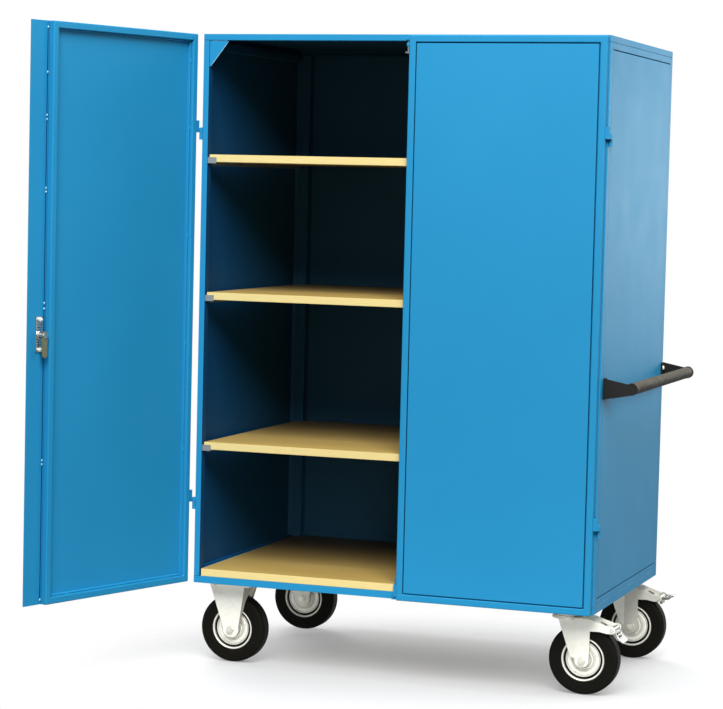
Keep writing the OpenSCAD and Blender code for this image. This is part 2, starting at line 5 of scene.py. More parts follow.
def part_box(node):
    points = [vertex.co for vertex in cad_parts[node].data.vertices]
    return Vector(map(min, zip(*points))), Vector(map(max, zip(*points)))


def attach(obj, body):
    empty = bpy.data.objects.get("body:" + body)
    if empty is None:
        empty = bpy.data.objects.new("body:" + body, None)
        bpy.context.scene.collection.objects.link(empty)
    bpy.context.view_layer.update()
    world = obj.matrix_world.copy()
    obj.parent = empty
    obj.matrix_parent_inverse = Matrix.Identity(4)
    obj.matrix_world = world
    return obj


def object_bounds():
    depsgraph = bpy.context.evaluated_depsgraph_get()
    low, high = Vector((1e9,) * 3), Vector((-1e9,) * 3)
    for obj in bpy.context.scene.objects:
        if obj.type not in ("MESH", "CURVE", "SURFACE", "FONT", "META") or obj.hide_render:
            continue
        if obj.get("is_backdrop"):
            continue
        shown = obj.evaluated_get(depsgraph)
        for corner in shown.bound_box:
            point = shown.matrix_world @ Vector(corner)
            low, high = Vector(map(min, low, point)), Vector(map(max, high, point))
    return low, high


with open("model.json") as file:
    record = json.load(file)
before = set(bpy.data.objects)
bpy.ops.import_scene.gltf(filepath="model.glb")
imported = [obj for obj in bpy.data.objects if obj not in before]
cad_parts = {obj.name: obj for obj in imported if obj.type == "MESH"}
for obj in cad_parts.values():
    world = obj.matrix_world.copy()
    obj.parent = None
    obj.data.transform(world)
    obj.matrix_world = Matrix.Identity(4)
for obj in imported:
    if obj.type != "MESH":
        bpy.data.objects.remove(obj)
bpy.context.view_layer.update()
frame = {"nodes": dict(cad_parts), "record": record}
nodes = frame["nodes"]
scene = bpy.context.scene
print("frame loaded:", len(nodes), "nodes")

# the cupboard's middle and front plane in the frame
roofLow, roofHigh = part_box("roof_tray")
midX = (roofLow.x + roofHigh.x) / 2
frontY = roofLow.y
backY = roofHigh.y
floorOfBody = 240
topOfBody = 1832


# millimetres: across from the middle, back from the front plane, up from the floor
def spot(x, y, z):
    return Vector((midX + x / 1000, frontY + y / 1000, z / 1000))


# the same on the left leaf, given as if it were shut
leafSwing = {"pin": (-605.7, 6.2), "angle": -108.5}
pinSpot = spot(*leafSwing["pin"], 0)
pinTurn = Matrix.Rotation(math.radians(leafSwing["angle"]), 4, "Z")
leafTurn = Matrix.Translation(pinSpot) @ pinTurn @ Matrix.Translation(-pinSpot)


def leafSpot(x, y, z):
    return leafTurn @ spot(x, y, z)


# camera: place from the front plane's foot in metres, turns in degrees
cameraView = {
    "x": 2.1941, "y": -6.5091, "z": 1.4089, "yaw": -19.3886, "pitch": -3.9699, "roll": 1.3772,
    "lens": 121.518, "sensor": 36, "far": 60,
}


def makeCamera(v):
    yaw, pitch, roll = (math.radians(v[k]) for k in ("yaw", "pitch", "roll"))
    look = Vector((math.sin(yaw) * math.cos(pitch), math.cos(yaw) * math.cos(pitch), math.sin(pitch)))
    side = Vector((math.cos(yaw), -math.sin(yaw), 0))
    lift = side.cross(look)
    right = math.cos(roll) * side + math.sin(roll) * lift
    up = math.cos(roll) * lift - math.sin(roll) * side
    data = bpy.data.cameras.new("photoCamera")
    data.sensor_fit = "HORIZONTAL"
    data.sensor_width = v["sensor"]
    data.lens = v["lens"]
    data.clip_end = v["far"]
    cam = bpy.data.objects.new("photoCamera", data)
    turn = Matrix((right, up, -look)).transposed().to_4x4()
    cam.matrix_world = Matrix.Translation((midX + v["x"], frontY + v["y"], v["z"])) @ turn
    scene.collection.objects.link(cam)
    scene.camera = cam


makeCamera(cameraView)
print("camera set")


# short names for building shader trees
class Tree:
    def __init__(self, name, world=None):
        self.mat = world or bpy.data.materials.new(name)
        self.mat.use_nodes = True
        self.nodes = self.mat.node_tree.nodes
        self.links = self.mat.node_tree.links
        self.shader = self.nodes.get("Principled BSDF")
        self.coord = self.add("ShaderNodeTexCoord").outputs["Object"]

    def add(self, kind, **values):
        n = self.nodes.new(kind)
        for k, v in values.items():
            setattr(n, k, v)
        return n

    def put(self, socket, value):
        if isinstance(value, bpy.types.NodeSocket):
            self.links.new(value, socket)
        else:
            socket.default_value = value

    def set(self, **values):
        for k, v in values.items():
            self.put(self.shader.inputs[k.replace("_", " ")], v)

    def axis(self, name, vector=None):
        n = self.add("ShaderNodeSeparateXYZ")
        self.put(n.inputs[0], vector or self.coord)
        return n.outputs[name]

    def stretch(self, scale):
        n = self.add("ShaderNodeMapping")
        self.put(n.inputs["Vector"], self.coord)
        n.inputs["Scale"].default_value = scale
        return n.outputs["Vector"]

    def noise(self, scale, detail=3.0, rough=0.5, vector=None):
        n = self.add("ShaderNodeTexNoise")
        self.put(n.inputs["Vector"], vector or self.coord)
        n.inputs["Scale"].default_value = scale
        n.inputs["Detail"].default_value = detail
        n.inputs["Roughness"].default_value = rough
        return n.outputs["Fac"]

    def cells(self, scale):
        n = self.add("ShaderNodeTexVoronoi")
        self.put(n.inputs["Vector"], self.coord)
        n.inputs["Scale"].default_value = scale
        return n.outputs["Distance"]

    # 1 for rays that the camera sees, straight or in a shine
    def seen(self):
        path = self.add("ShaderNodeLightPath").outputs
        shine = self.calc("MAXIMUM", path["Is Glossy Ray"], path["Is Transmission Ray"])
        return self.calc("MAXIMUM", path["Is Camera Ray"], shine)

    # 1 deep in a corner, 0 in the open: the mask for painted shade in corners and the floor's painted shadow
    def occlusionShade(self, reach):
        n = self.add("ShaderNodeAmbientOcclusion", samples=8)
        n.inputs["Distance"].default_value = reach
        return self.calc("SUBTRACT", 1.0, n.outputs["AO"])

    def span(self, value, low, high, toLow=0.0, toHigh=1.0):
        n = self.add("ShaderNodeMapRange")
        self.put(n.inputs["Value"], value)
        for k, v in zip(("From Min", "From Max", "To Min", "To Max"), (low, high, toLow, toHigh)):
            n.inputs[k].default_value = v
        return n.outputs["Result"]

    def calc(self, kind, a, b=0.0):
        n = self.add("ShaderNodeMath", operation=kind)
        self.put(n.inputs[0], a)
        self.put(n.inputs[1], b)
        return n.outputs[0]

    def mix(self, fac, a, b):
        n = self.add("ShaderNodeMix", data_type="RGBA")
        self.put(n.inputs[0], fac)
        self.put(n.inputs[6], a)
        self.put(n.inputs[7], b)
        return n.outputs[2]

    def bump(self, height, strength, distance):
        n = self.add("ShaderNodeBump")
        n.inputs["Strength"].default_value = strength
        n.inputs["Distance"].default_value = distance
        self.put(n.inputs["Height"], height)
        return n.outputs["Normal"]


def rgb(r, g, b):
    return (r, g, b, 1.0)


# finishes
paintLook = {
    "colour": rgb(0.015, 0.274, 0.535), "deep": rgb(0.013, 0.261, 0.515), "chalk": rgb(0.16, 0.36, 0.50),
    # the dark blue after the scuff colour is painted shade for grooves and corners
    "scuff": rgb(0.05, 0.11, 0.16), "seam": rgb(0.003, 0.058, 0.175),
    # painted shade: the colours of the faces inside the cupboard
    "inside": rgb(0.002, 0.060, 0.170), "insideBack": rgb(0.014, 0.085, 0.160),
    "dusting": 0.08, "scuffing": 0.45, "scuffBand": (0.55, 0.26), "seamReach": 0.014, "seamDepth": 0.8,
    "halfInside": (0.5994, 0.5988), "frontSkin": (0.0005, 0.0015), "otherSkin": (0.0004, 0.001),
    "insideRun": (0.25, 0.7), "rough": (0.565, 0.60), "ior": 1.33,
}


def bluePaint(name, look, inside=False):
    t = Tree(name)
    patch = t.span(t.noise(2.3, 2.0), 0.35, 0.65)
    tone = t.mix(patch, look["colour"], look["deep"])
    dust = t.span(t.noise(70, 4.0, 0.65), 0.62, 0.80)
    tone = t.mix(t.calc("MULTIPLY", dust, look["dusting"]), tone, look["chalk"])
    rub = t.span(t.noise(1.0, 5.0, 0.7, t.stretch((16, 16, 90))), 0.70, 0.78)
    low = t.span(t.axis("Z"), *look["scuffBand"])
    tone = t.mix(t.calc("MULTIPLY", t.calc("MULTIPLY", rub, low), look["scuffing"]), tone, look["scuff"])
    if inside:  # painted shade: a darker colour on the faces that look into the cupboard, changing from front to back
        fromMiddle = t.calc("ABSOLUTE", t.calc("SUBTRACT", t.axis("X"), midX))
        across = t.span(fromMiddle, *look["halfInside"])
        behind = t.span(t.axis("Y"), *(frontY + d for d in look["frontSkin"]))
        before = t.span(t.axis("Y"), *(backY - d for d in look["otherSkin"]))
        under = t.span(t.axis("Z"), *(topOfBody / 1000 - d for d in look["otherSkin"]))
        within = t.calc("MINIMUM", t.calc("MINIMUM", behind, before), under)
        run = t.span(t.axis("Y"), *(frontY + d for d in look["insideRun"]))
        inner = t.mix(run, look["inside"], look["insideBack"])
        tone = t.mix(t.calc("MINIMUM", across, within), tone, inner)
    # painted shade: darker in grooves and corners, by occlusion
    tone = t.mix(t.span(t.occlusionShade(look["seamReach"]), 0.35, 0.85, 0.0, look["seamDepth"]), tone, look["seam"])
    t.set(Base_Color=tone, Roughness=t.span(t.noise(9, 3.0), 0.3, 0.7, *look["rough"]), IOR=look["ior"])
    t.set(Normal=t.bump(t.noise(750, 2.0), 0.05, 0.0006))
    return t.mat


boardLook = {
    "face": rgb(0.64, 0.45, 0.135), "faceDark": rgb(0.50, 0.33, 0.085), "edge": rgb(0.87, 0.70, 0.295),
    "edgeDark": rgb(0.66, 0.47, 0.16), "backShade": rgb(0.10, 0.075, 0.045),
    "backShadeRun": (0.02, 0.62), "backShading": 0.8, "ply": 0.00244,
}


def boardWood(look):
    t = Tree("boardWood")
    grain = t.noise(1.0, 5.0, 0.6, t.stretch((3, 60, 60)))
    figure = t.noise(1.0, 3.0, 0.5, t.stretch((0.9, 7, 7)))
    streak = t.calc("ADD", t.calc("MULTIPLY", grain, 0.6), t.calc("MULTIPLY", figure, 0.5))
    face = t.mix(t.span(streak, 0.4, 0.72), look["faceDark"], look["face"])
    run = t.span(t.axis("Y"), *(frontY + d for d in look["backShadeRun"]), 0.0, look["backShading"])
    shadedBack = t.calc("MULTIPLY", run, t.span(figure, 0.25, 0.6, 0.8, 1.0))
    face = t.mix(shadedBack, face, look["backShade"])  # painted shade: the boards darken towards the back of the cupboard
    turns = t.calc("MULTIPLY", t.axis("Z"), math.pi / look["ply"])
    layer = t.span(t.calc("SINE", turns), -0.5, 0.5)
    fuzz = t.span(t.noise(1.0, 3.0, 0.6, t.stretch((25, 25, 500))), 0.35, 0.65)
    edge = t.mix(t.calc("MULTIPLY", t.calc("MULTIPLY", layer, fuzz), 0.4), look["edge"], look["edgeDark"])
    up = t.axis("Z", t.add("ShaderNodeNewGeometry").outputs["True Normal"])
    flat = t.span(t.calc("ABSOLUTE", up), 0.45, 0.7)
    t.set(Base_Color=t.mix(flat, edge, face), Roughness=t.span(grain, 0.3, 0.7, 0.42, 0.58), IOR=1.45)
    t.set(Normal=t.bump(streak, 0.12, 0.0008))
    return t.mat


platingLook = {
    "turnedShade": rgb(0.17, 0.155, 0.112), "occlusionShade": rgb(0.045, 0.043, 0.037), "shadeReach": 0.007, "shadeDepth": 0.85,
}


def plating(name, colour, dark, rough, grainScale, bumpStrength, metal, turnedShade=None):
    look = platingLook
    t = Tree(name)
    spotty = t.span(t.noise(grainScale, 3.0, 0.6), 0.35, 0.68)
    wear = t.span(t.noise(14, 4.0, 0.6), 0.45, 0.75)
    tone = t.mix(t.calc("MULTIPLY", spotty, 0.5), colour, dark)
    tone = t.mix(t.calc("MULTIPLY", wear, 0.3), tone, dark)
    if turnedShade:  # painted shade: the faces that turn to the right are darker
        low, high, most = turnedShade
        sideways = t.axis("X", t.add("ShaderNodeTexCoord").outputs["Normal"])
        tone = t.mix(t.span(sideways, low, high, 0.0, most), tone, look["turnedShade"])
    # painted shade: darker in creases and corners, by occlusion
    tone = t.mix(t.span(t.occlusionShade(look["shadeReach"]), 0.3, 0.85, 0.0, look["shadeDepth"]), tone, look["occlusionShade"])
    t.set(Base_Color=tone, Metallic=metal, Roughness=t.span(spotty, 0, 1, *rough))
    t.set(Normal=t.bump(t.noise(420, 2.0), bumpStrength, 0.0004))
    return t.mat


def moulding(name, colour, wearAndLight, rough, grain):
    t = Tree(name)
    patch = t.span(t.noise(22, 4.0, 0.6), 0.4, 0.75)
    t.set(Base_Color=t.mix(t.calc("MULTIPLY", patch, 0.5), colour, wearAndLight))
    t.set(Roughness=t.span(t.noise(60, 3.0), 0.3, 0.7, *rough))
    t.set(Normal=t.bump(t.cells(grain), 0.15, 0.0005), IOR=1.3)
    return t.mat


# the grip: pale above and dark below, painted light and shade by which way each face turns
def sleeve(name, litTone, dark):
    t = Tree(name)
    up = t.axis("Z", t.add("ShaderNodeNewGeometry").outputs["True Normal"])
    # painted light and shade: faces turned up are lighter, with random tone
    wearAndLight = t.calc("ADD", up, t.span(t.noise(26, 4.0, 0.6), 0.3, 0.7, -0.25, 0.25))
    t.set(Base_Color=t.mix(t.span(wearAndLight, -0.35, 0.95), dark, litTone), IOR=1.16)
    t.set(Roughness=t.span(t.noise(60, 3.0), 0.3, 0.7, 0.6, 0.75))
    t.set(Normal=t.bump(t.cells(1200), 0.15, 0.0005))
    return t.mat


tyreLook = {"colour": rgb(0.0036, 0.0033, 0.0022), "dust": rgb(0.014, 0.0125, 0.0085), "dusting": 0.4}


def tyreRubber(look):
    t = Tree("tyreRubber")
    dust = t.span(t.noise(40, 5.0, 0.65), 0.50, 0.85)
    t.set(Base_Color=t.mix(t.calc("MULTIPLY", dust, look["dusting"]), look["colour"], look["dust"]))
    t.set(Roughness=t.span(dust, 0, 1, 0.62, 0.85), IOR=1.17)
    t.set(Normal=t.bump(t.noise(300, 3.0), 0.18, 0.0007))
    return t.mat


paint = bluePaint("bluePaint", paintLook)
# painted shade inside the cupboard on the body's panels, posts, roof and rails
bodyPaintInsideShade = bluePaint("bodyPaintInsideShade", paintLook, True)
wood = boardWood(boardLook)
# plated metal: colour, worn tone, roughness, grain, bump, metal
zinc = plating("brightZinc", rgb(0.97, 0.96, 0.865), rgb(0.80, 0.785, 0.68), (0.34, 0.52), 90, 0.06, 0.3)
rimZinc = plating("rimZinc", rgb(0.69, 0.685, 0.62), rgb(0.50, 0.49, 0.43), (0.32, 0.5), 80, 0.06, 0.35)
forkTones = rgb(0.98, 0.965, 0.865), rgb(0.84, 0.82, 0.71), (0.38, 0.55), 70, 0.06, 0.2
# painted shade on the fork faces that turn one way; the rear swivel fork takes it on its main faces
forkZinc = plating("forkZinc", *forkTones, (0.3, 0.6, 0.85))
shadedForkZinc = plating("shadedForkZinc", *forkTones, (-0.12, -0.05, 0.42))
ledgeTones = rgb(0.34, 0.355, 0.345), rgb(0.22, 0.235, 0.225), (0.4, 0.58), 160, 0.08, 0.7
galvanised = plating("galvanised", *ledgeTones)
chrome = plating("lockChrome", rgb(0.52, 0.52, 0.50), rgb(0.30, 0.30, 0.29), (0.12, 0.26), 120, 0.02, 0.9)
yellowZinc = plating("yellowZinc", rgb(0.27, 0.26, 0.15), rgb(0.13, 0.12, 0.07), (0.28, 0.44), 110, 0.05, 0.6)
nutSteel = plating("nutSteel", rgb(0.84, 0.83, 0.74), rgb(0.52, 0.51, 0.44), (0.22, 0.38), 130, 0.04, 0.6)
boltSteel = plating("boltSteel", rgb(0.20, 0.23, 0.25), rgb(0.09, 0.10, 0.11), (0.36, 0.55), 130, 0.05, 0.6)
pedalTones = rgb(0.36, 0.365, 0.345), rgb(0.16, 0.165, 0.15), (0.2, 0.36), 110, 0.05, 0.85
pedalZinc = plating("pedalZinc", *pedalTones)
# a lighter blue for weld lumps: painted highlight
tackHighlightPaint = plating("tackHighlightPaint", rgb(0.34, 0.62, 0.76), rgb(0.10, 0.40, 0.62), (0.20, 0.34), 240, 0.10, 0.1)
bracketTones = rgb(0.006, 0.006, 0.0055), rgb(0.014, 0.0135, 0.012), (0.46, 0.62), 900
blackPlastic = moulding("blackPlastic", *bracketTones)
gripSleeve = sleeve("gripSleeve", rgb(0.105, 0.094, 0.074), rgb(0.007, 0.0062, 0.005))
rubber = tyreRubber(tyreLook)
print("finishes made")

# finish and edge radius of each slot, then what single nodes have instead
finishOf = {
    "body": (paint, 0.0014), "boards": (wood, 0.0012), "ledge_metal": (galvanised, 0.0005),
    "zinc_metal": (zinc, 0.0007), "lock_chrome": (chrome, 0.0005), "cam_metal": (yellowZinc, 0.0005),
    "bracket_plastic": (blackPlastic, 0.0012), "handle_coat": (gripSleeve, 0.0008),
    "tyre_rubber": (rubber, 0.0),
}
widerEdge = {"front_posts": 0.0026, "left_leaf_frame": 0.003, "right_leaf_frame": 0.003, "roof_tray": 0.002}
edgeLook = {"join": 0.00002, "segments": 3, "angle": 38}
wheels = ("front_fixed", "rear_fixed", "front_swivel", "rear_swivel")
nodesWith = (
    (boltSteel, ("top_bolt", "bottom_bolt")),
    (pedalZinc, ("front_brake_pedal", "rear_brake_pedal")),
    (nutSteel, ("fixed_axles", "front_swivel_pins", "rear_swivel_pins", "castor_bolts")),
    (forkZinc, ("front_fixed_fork", "rear_fixed_fork", "front_swivel_fork")),
    (shadedForkZinc, ("rear_swivel_fork",)),
    (rimZinc, [wheel + "_rim" for wheel in wheels]),
    (bodyPaintInsideShade, ("back_panel", "left_side_panel", "right_side_panel", "front_posts", "rear_posts",
                 "roof_tray", "top_rails")),
)
ownFinish = {name: finish for finish, names in nodesWith for name in names}


def dressNode(name, mat, edge):
    o = nodes[name]
    o.data.materials.clear()
    o.data.materials.append(ownFinish.get(name, mat))
    if edge:
        weld = o.modifiers.new("join", "WELD")
        weld.merge_threshold = edgeLook["join"]
        soft = o.modifiers.new("edge", "BEVEL")
        soft.width = widerEdge.get(name, edge)
        soft.segments = edgeLook["segments"]
        soft.limit_method = "ANGLE"
        soft.angle_limit = math.radians(edgeLook["angle"])
        soft.harden_normals = False
        even = o.modifiers.new("even", "WEIGHTED_NORMAL")
        even.keep_sharp = False


for part in frame["record"]["subparts"]:
    dressNode(part["node"], *finishOf[part["material_slot"]])
print("nodes dressed")


# one mesh piece that rides on a body and takes a slot's finish
def makePiece(name, body, mat, fill):
    mesh = bpy.data.meshes.new(name)
    b = bmesh.new()
    fill(b)
    bmesh.ops.recalc_face_normals(b, faces=b.faces)
    for f in b.faces:
        f.smooth = True
    b.to_mesh(mesh)
    b.free()
    mesh.materials.append(mat)
    o = bpy.data.objects.new(name, mesh)
    scene.collection.objects.link(o)
    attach(o, body)
    return o


# a lumpy tack of weld metal: centre, half sizes along its own three directions
def addTack(b, at, turn, size, seed):
    dice = random.Random(seed)
    made = bmesh.ops.create_icosphere(b, subdivisions=2, radius=1)["verts"]
    for v in made:
        v.co *= 1 + dice.uniform(-0.10, 0.10)
        v.co = at + turn @ Vector((v.co.x * size[0], v.co.y * size[1], v.co.z * size[2]))


# rings of eight corners make the seams and the gap's painted shade
ringCorners = 8


# faces between the rings, closed at both ends
def skinRings(b, rings):
    for one, two in zip(rings, rings[1:]):
        for k in range(ringCorners):
            j = (k + 1) % ringCorners
            b.faces.new((one[k], one[j], two[j], two[k]))
    b.faces.new(rings[0])
    b.faces.new(rings[-1])


# one ring of corners, wide along x and deep along y of its own turn
def addRing(b, at, turn, wide, deep):
    ring = []
    for k in range(ringCorners):
        a = k * math.pi / 4
        ring.append(b.verts.new(at + turn @ Vector((wide * math.cos(a), deep * math.sin(a), 0))))
    return ring


# a rippled weld seam from start to end
def addSeam(b, start, end, radius, pitch, seed):
    dice = random.Random(seed)
    run = end - start
    count = max(8, int(run.length / pitch) * 4)
    turn = run.to_track_quat("Z", "Y").to_matrix()
    rings = []
    for i in range(count + 1):
        f = i / count
        swell = 0.85 + 0.18 * abs(math.sin(math.pi * f * count / 4)) + dice.uniform(-0.04, 0.04)
        r = radius * swell * min(1, 0.35 + 5 * min(f, 1 - f))  # thinner at both ends
        rings.append(addRing(b, start + run * f, turn, r, r))
    skinRings(b, rings)


# a turned ring or cap: profile of (radius, height along the axis), closed when its ends are off the axis
def addTurned(b, centre, axis, profile, count=72):
    onAxis = 1e-6
    turn = axis.to_track_quat("Z", "Y").to_matrix()
    loops = []
    for r, h in profile:
        if r < onAxis:
            loops.append([b.verts.new(centre + turn @ Vector((0, 0, h)))])
        else:
            around = [2 * math.pi * k / count for k in range(count)]
            corners = [Vector((r * math.cos(a), r * math.sin(a), h)) for a in around]
            loops.append([b.verts.new(centre + turn @ c) for c in corners])
    if profile[0][0] > onAxis and profile[-1][0] > onAxis:
        loops.append(loops[0])
    for one, two in zip(loops, loops[1:]):
        for k in range(count):
            j = (k + 1) % count
            if len(one) == 1:
                b.faces.new((one[0], two[j], two[k]))
            elif len(two) == 1:
                b.faces.new((one[k], one[j], two[0]))
            else:
                b.faces.new((one[k], one[j], two[j], two[k]))


# a thin dark piece in the gap between the overlap strip and the leaf: painted shade
gapShadeLook = {
    "x": -12.3, "y": -23.9, "low": 262, "high": 1806, "half": (0.0029, 0.0013), "steps": 40, "swell": 0.06,
}


def stripGapShade(b):
    g = gapShadeLook
    turn = leafTurn.to_3x3()
    wide, deep = g["half"]
    rings = []
    for i in range(g["steps"] + 1):
        at = leafSpot(g["x"], g["y"], g["low"] + (g["high"] - g["low"]) * i / g["steps"])
        swell = 1 + g["swell"] * math.sin(i * 1.7)
        rings.append(addRing(b, at, turn, wide * swell, deep * swell))
    skinRings(b, rings)


# painted shade: the gap piece's dark colour
gapShadeCoat = moulding("gapShadeCoat", rgb(0.002, 0.040, 0.135), rgb(0.003, 0.060, 0.175), (0.5, 0.7), 700)
makePiece("stripGapShade", "left_leaf", gapShadeCoat, stripGapShade)

# weld tacks on the leaves: beside the overlap strip, and between panel and frame
tackSet = {
    "stripHeights": (254, 627, 638, 1053, 1068, 1370, 1380, 1566, 1577, 1693, 1814),
    "stripAt": (-12.1, -22.6), "stripSize": (0.0030, 0.0030, 0.0042),
    "leftEdges": (-595, -14), "rightEdges": (29.5, 595), "frame": 19.5, "panelBack": -10.9,
    "gap": 310, "endGap": 60, "sideGap": 70, "inset": 0.8, "proud": 0.4, "size": (0.0022, 0.0020, 0.0065),
}


def stripTacks(b):
    turn = leafTurn.to_3x3()
    for i, z in enumerate(tackSet["stripHeights"]):
        addTack(b, leafSpot(*tackSet["stripAt"], z), turn, tackSet["stripSize"], i)


def panelTacks(spotOn, turn, edges, lift, seed):
    d = tackSet
    upright, lying = d["size"], d["size"][::-1]

    def fill(b):
        left, right = edges[0] + d["frame"], edges[1] - d["frame"]
        low, high = floorOfBody - 1 + d["frame"] + lift, topOfBody - 3 - d["frame"] + lift
        heights = [low + d["endGap"] + d["gap"] * k for k in range(5)] + [high - d["endGap"]]
        across = [left + d["sideGap"], (left + right) / 2, right - d["sideGap"]]
        y = d["panelBack"] + d["proud"]
        for i, z in enumerate(heights):
            addTack(b, spotOn(left + d["inset"], y, z), turn, upright, seed + i)
            addTack(b, spotOn(right - d["inset"], y, z), turn, upright, seed + 20 + i)
        for i, x in enumerate(across):
            addTack(b, spotOn(x, y, low + d["inset"]), turn, lying, seed + 40 + i)
            addTack(b, spotOn(x, y, high - d["inset"]), turn, lying, seed + 60 + i)
    return fill


leftTacks = panelTacks(leafSpot, leafTurn.to_3x3(), tackSet["leftEdges"], 2.5, 100)
rightTacks = panelTacks(spot, Matrix.Identity(3), tackSet["rightEdges"], 0, 200)
# the strip's tacks take the painted highlight
makePiece("stripTacks", "left_leaf", tackHighlightPaint, stripTacks)
makePiece("leftPanelTacks", "left_leaf", paint, leftTacks)
makePiece("rightPanelTacks", "right_leaf", paint, rightTacks)
print("leaf tacks made")

# weld seams of the body: gussets and hinges
seamSet = {
    "radius": 0.0021, "pitch": 0.0042,
    "postInner": 582.5, "gussetLow": 1739, "gussetTop": 1814, "gussetY": 5.2,
    "hinges": (475, 1549), "hingeAt": (600.4, 9.4), "hingeRun": (-18, -3),
    "hingeRadius": 0.0014, "hingePitch": 0.0036,
}


def bodySeams(b):
    d = seamSet
    r, p, y = d["radius"], d["pitch"], d["gussetY"]
    x, top = d["postInner"], d["gussetTop"]
    hingeX, hingeY = d["hingeAt"]
    for s in (-1, 1):
        addSeam(b, spot(s * x, y, d["gussetLow"] + 4), spot(s * x, y, top - 6), r, p, 5 + s)
        addSeam(b, spot(s * (x - 54), y, top), spot(s * (x - 6), y, top), r, p, 9 + s)
        for z in d["hinges"]:
            ends = [spot(s * hingeX, hingeY, z + step) for step in d["hingeRun"]]
            addSeam(b, *ends, d["hingeRadius"], d["hingePitch"], 13 + s + z)
    print("body seams laid")


makePiece("bodySeams", "cabinet", paint, bodySeams)

# beads along the gussets' free edge and under the roof rim, painted lighter as a painted highlight
beadSet = {"y": 2.3, "radius": 0.0011, "pitch": 0.004}


def gussetBeads(b):
    r, p, y = beadSet["radius"], beadSet["pitch"], beadSet["y"]
    x, top, low = seamSet["postInner"], seamSet["gussetTop"], seamSet["gussetLow"]
    for s in (-1, 1):
        addSeam(b, spot(s * (x - 57.5), y, top - 4.5), spot(s * (x - 4), y, low + 0.5), r, p, 31 + s)
        addSeam(b, spot(s * (x - 56), y, top - 1), spot(s * (x - 2), y, top - 1), r, p, 41 + s)


makePiece("gussetBeads", "cabinet", tackHighlightPaint, gussetBeads)

# wheel dress: rolled rim lip, pressed waves and rivets on the disc, ribs on the tyre's sides
wheelDress = {
    "lip": (0.0594, 0.0230, 0.0017), "rivetRing": 0.0405, "rivets": 5, "ribs": (0.0705, 0.0790, 0.0855),
    "wave": ((0.0345, 0.0175), (0.0368, 0.0183), (0.0392, 0.0187),
             (0.0418, 0.0187), (0.0442, 0.0183), (0.0465, 0.0175)),
    "hubWave": ((0.0235, 0.0175), (0.0242, 0.0187), (0.0262, 0.0191), (0.0282, 0.0187), (0.0290, 0.0175)),
    "rivet": ((0.0029, 0.0188), (0.0028, 0.0200), (0.0018, 0.0209), (0, 0.0211)),
    "tyreLip": ((0.0502, 0.0035), (0.0502, 0.0150), (0.0512, 0.0162),
                (0.0552, 0.0162), (0.0563, 0.0150), (0.0563, 0.0035)),
    "ribAt": (0.0248, 0.0009), "treadRib": (0.0993, 0, 0.0006),
}


def roundRib(r, h, tube, steps=10):
    around = [2 * math.pi * k / steps for k in range(steps)]
    return [(r + tube * math.cos(a), h + tube * math.sin(a)) for a in around]


def rimTrim(centre):
    def fill(b):
        d = wheelDress
        for s in (-1, 1):
            axis = Vector((0, s, 0))
            addTurned(b, centre, axis, roundRib(*d["lip"]))
            addTurned(b, centre, axis, d["wave"])
            addTurned(b, centre, axis, d["hubWave"])
            for k in range(d["rivets"]):
                a = 2 * math.pi * (k + 0.3) / d["rivets"]
                at = centre + Vector((d["rivetRing"] * math.cos(a), 0, d["rivetRing"] * math.sin(a)))
                addTurned(b, at, axis, d["rivet"], 16)
    return fill


def tyreRibs(centre):
    def fill(b):
        d = wheelDress
        for s in (-1, 1):
            axis = Vector((0, s, 0))
            addTurned(b, centre, axis, d["tyreLip"])  # seen between the disc and the rim
            for r in d["ribs"]:
                addTurned(b, centre, axis, roundRib(r, *d["ribAt"], 8), 96)
        addTurned(b, centre, Vector((0, 1, 0)), roundRib(*d["treadRib"], 8), 96)
    return fill


for wheel in wheels:
    low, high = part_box(wheel + "_rim")
    centre = (low + high) / 2
    makePiece(wheel + "RimTrim", wheel + "_wheel", zinc, rimTrim(centre))
    makePiece(wheel + "TyreRibs", wheel + "_wheel", rubber, tyreRibs(centre))
print("wheels dressed")

# handle: moulded collars round the tube's ends
handleDress = {
    "x": 679, "z": 867, "tube": 0.0165, "seat": 0.0004,
    "front": (35.2, 0.0035, 0.0004), "rear": (778.8, 0.016, 0.0014),  # place, length, height over the tube
}


def handleCollars(b):
    d = handleDress
    r = d["tube"]
    inner = r - d["seat"]
    for (y, long, lift), s in ((d["front"], 1), (d["rear"], -1)):
        ring = [(inner, 0), (r + lift, 0), (r + lift, long * 0.7), (r + lift * 0.5, long), (inner, long)]
        addTurned(b, spot(d["x"], y, d["z"]), Vector((0, s, 0)), ring, 48)


makePiece("handleCollars", "cabinet", blackPlastic, handleCollars)

# hinge pins end in a domed head above each upper half
hingeDress = {
    "x": 605.7, "y": 6.2, "tops": (488, 1562),
    "head": ((0.0044, -0.0008), (0.0044, 0.0008), (0.0036, 0.0018), (0.0019, 0.0024), (0, 0.0026)),
}


def hingeHeads(spotOn, side):
    d = hingeDress

    def fill(b):
        for z in d["tops"]:
            addTurned(b, spotOn(side * d["x"], d["y"], z), Vector((0, 0, 1)), d["head"], 24)
    return fill


makePiece("leftHingeHeads", "left_leaf", paint, hingeHeads(leafSpot, -1))
makePiece("rightHingeHeads", "right_leaf", paint, hingeHeads(spot, 1))
print("handle and hinges dressed")

# brake pedals: raised rungs across the tread plate
pedalDress = {
    "reach": 0.134, "height": 0.190, "half": 0.022, "rungs": ((9.5, 3.5), (20.5, 3.9), (31, 5.5), (38, 8.6)),
    "radius": 0.0013, "pitch": 0.006,
}
castorLow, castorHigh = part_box("front_swivel_plate")
castorMid = (castorLow + castorHigh) / 2


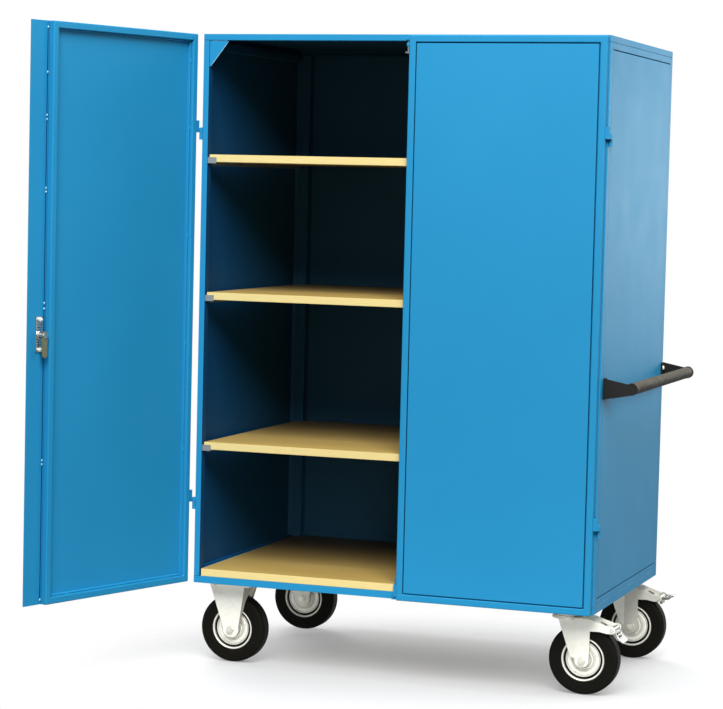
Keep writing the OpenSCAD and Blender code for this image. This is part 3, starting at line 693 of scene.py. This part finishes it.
def pedalRungs(pedal, tilt):
    d = pedalDress
    low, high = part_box(pedal)
    pivot = Vector((castorMid.x + d["reach"], (low.y + high.y) / 2, d["height"]))
    turn = Matrix.Translation(pivot) @ Matrix.Rotation(math.radians(tilt), 4, "Y")

    def fill(b):
        for x, z in d["rungs"]:
            ends = [turn @ Vector((x / 1000, side * d["half"], z / 1000)) for side in (-1, 1)]
            addSeam(b, *ends, d["radius"], d["pitch"], int(x))
    return fill


makePiece("frontPedalRungs", "front_pedal", pedalZinc, pedalRungs("front_brake_pedal", 60))
makePiece("rearPedalRungs", "rear_pedal", pedalZinc, pedalRungs("rear_brake_pedal", 0))
print("pedals dressed")

# floor, world and lamps
stageSet = {
    "floor": 0.30, "glowWithPaintedShadow": (0.24, 0.80), "reach": 1.1, "clear": (0.74, 1.15), "oval": (1.0, 1.15, 1.0),
    "radius": 2.6, "middle": (0.16, 0.22), "drop": 0.0005, "ambient": 0.07,
}


def makeStage(s):
    t = Tree("paleFloor")
    t.set(Base_Color=rgb(s["floor"], s["floor"], s["floor"]), Roughness=0.8, Emission_Color=rgb(1, 1, 1))
    # painted shadow: the floor glows less where the cart occludes it
    t.set(Emission_Strength=t.calc("MULTIPLY", t.seen(), t.span(t.occlusionShade(s["reach"]), 0.85, 0.0, *s["glowWithPaintedShadow"])))
    away = t.add("ShaderNodeVectorMath", operation="LENGTH")
    t.put(away.inputs[0], t.stretch(s["oval"]))
    fade = t.span(away.outputs["Value"], *s["clear"])
    clear = t.add("ShaderNodeBsdfTransparent")
    blend = t.add("ShaderNodeMixShader")
    t.put(blend.inputs[0], fade)
    t.put(blend.inputs[1], t.shader.outputs[0])
    t.put(blend.inputs[2], clear.outputs[0])
    t.links.new(blend.outputs[0], t.nodes["Material Output"].inputs["Surface"])
    mesh = bpy.data.meshes.new("paleFloor")
    b = bmesh.new()
    bmesh.ops.create_circle(b, cap_ends=True, segments=96, radius=s["radius"])
    b.to_mesh(mesh)
    b.free()
    mesh.materials.append(t.mat)
    floor = bpy.data.objects.new("paleFloor", mesh)
    floor.location = (midX + s["middle"][0], frontY + s["middle"][1], -s["drop"])
    scene.collection.objects.link(floor)
    floor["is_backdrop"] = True
    world = bpy.data.worlds.new("studio")
    scene.world = world
    w = Tree("studio", world)
    back = w.nodes["Background"]
    back.inputs["Color"].default_value = rgb(1, 1, 1)
    w.put(back.inputs["Strength"], w.span(w.seen(), 0.0, 1.0, s["ambient"], 1.0))


# places and aims in metres from the front plane's foot
lampSet = {
    "front": {"at": (1.75, -5.7, 6.55), "aim": (0, 0.0, 0.9),
              "size": (5.0, 5.0), "watts": 1020, "spread": 180},
    "low": {"at": (1.9, -4.4, 0.6), "aim": (0.1, 0.2, -0.08),
            "size": (2.6, 0.4), "watts": 1.6, "spread": 18},
    "top": {"at": (0.1, 0.9, 6.2), "aim": (0.1, 0.6, 0),
            "size": (3.0, 3.0), "watts": 90, "spread": 180},
    "backRight": {"at": (1.75, 5.0, 1.5), "aim": (0.6, 0.4, 1.4),
                  "size": (1.1, 1.3), "watts": 14, "spread": 120},
    "backLeft": {"at": (-3.4, 4.4, 3.4), "aim": (-0.3, 0.6, 0.9),
                 "size": (2.4, 2.0), "watts": 120, "spread": 180},
    "rightSide": {"at": (2.7, 0.9, 2.0), "aim": (0.6, 0.4, 1.42),
                  "size": (1.2, 1.0), "watts": 5.0, "spread": 70, "tint": (1.0, 0.97, 0.85)},
}


def makeLamps(lamps):
    for name, v in lamps.items():
        data = bpy.data.lights.new(name, "AREA")
        data.shape = "RECTANGLE"
        data.size, data.size_y = v["size"]
        data.energy = v["watts"]
        data.spread = math.radians(v["spread"])
        data.color = v.get("tint", (1.0, 1.0, 1.0))
        lamp = bpy.data.objects.new(name, data)
        foot = Vector((midX, frontY, 0))
        at, aim = foot + Vector(v["at"]), foot + Vector(v["aim"])
        turn = (aim - at).to_track_quat("-Z", "Y").to_matrix().to_4x4()
        lamp.matrix_world = Matrix.Translation(at) @ turn
        scene.collection.objects.link(lamp)


makeStage(stageSet)
makeLamps(lampSet)
scene.view_settings.view_transform = "Standard"
print("stage and lamps set")

low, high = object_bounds()
